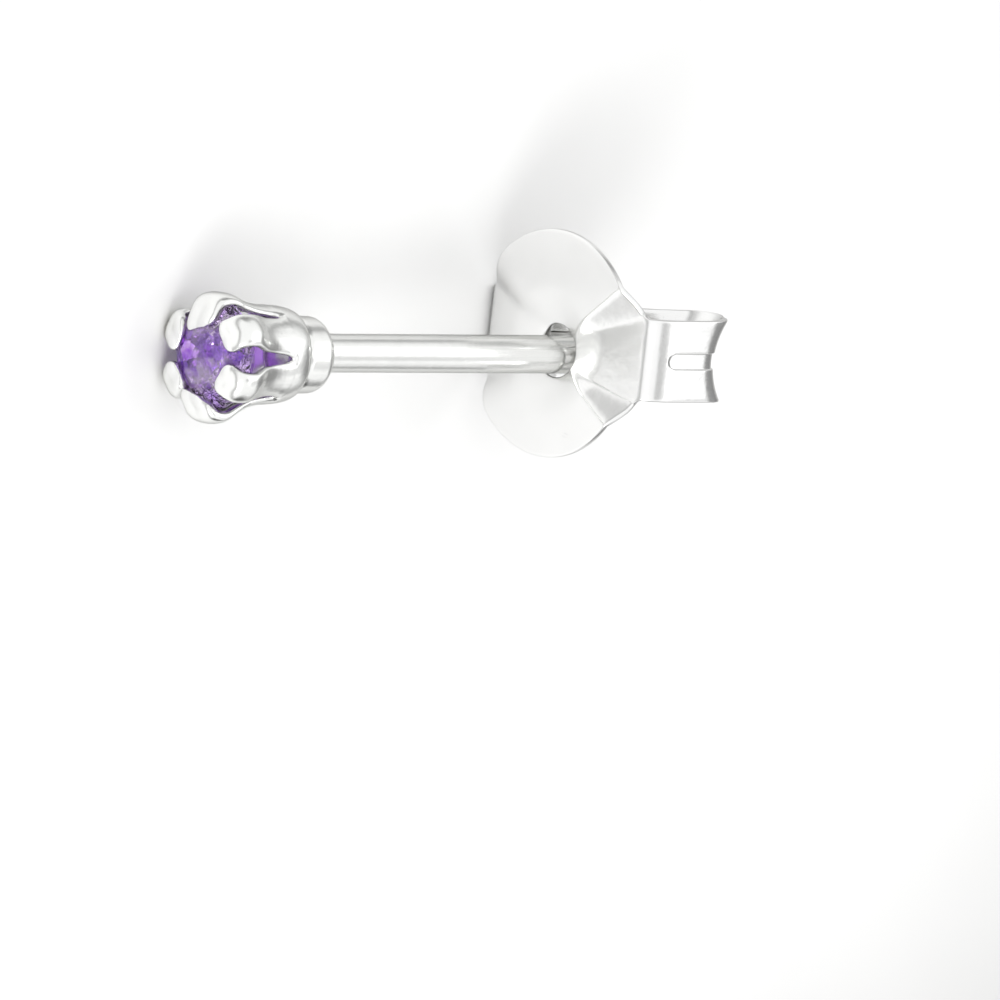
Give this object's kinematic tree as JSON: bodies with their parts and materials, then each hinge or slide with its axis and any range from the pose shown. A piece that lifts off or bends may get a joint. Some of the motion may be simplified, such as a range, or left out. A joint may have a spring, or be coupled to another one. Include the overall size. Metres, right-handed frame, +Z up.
{
  "type": "stud earring",
  "caption": "Stud earring with a round faceted purple stone in a silver crown of prongs, a straight post and a sliding butterfly clutch.",
  "frame": {"origin": "centre of the footprint box, on the surface the earring lies on", "axes": "+X from the head towards the post's tip, level; +Y across, towards the upper lobe of the clutch disc as pictured; +Z up"},
  "size_m": [0.0148, 0.0052, 0.0057],
  "materials": {
    "cast_silver": "polished cast silver with softly rounded edges",
    "purple_stone": "polished faceted purple quartz",
    "sheet_silver": "polished pressed silver sheet"
  },
  "bodies": {
    "stud": {"setting_and_post": "cast_silver", "stone": "purple_stone"},
    "clutch": {"clutch": "sheet_silver"}
  },
  "joints": [
    {"name": "clutch_slide", "type": "slide", "parent": "stud", "child": "clutch", "axis": [0.9929, 0, 0.1191], "range_m": [-0.0074, 0.0022]}
  ]
}
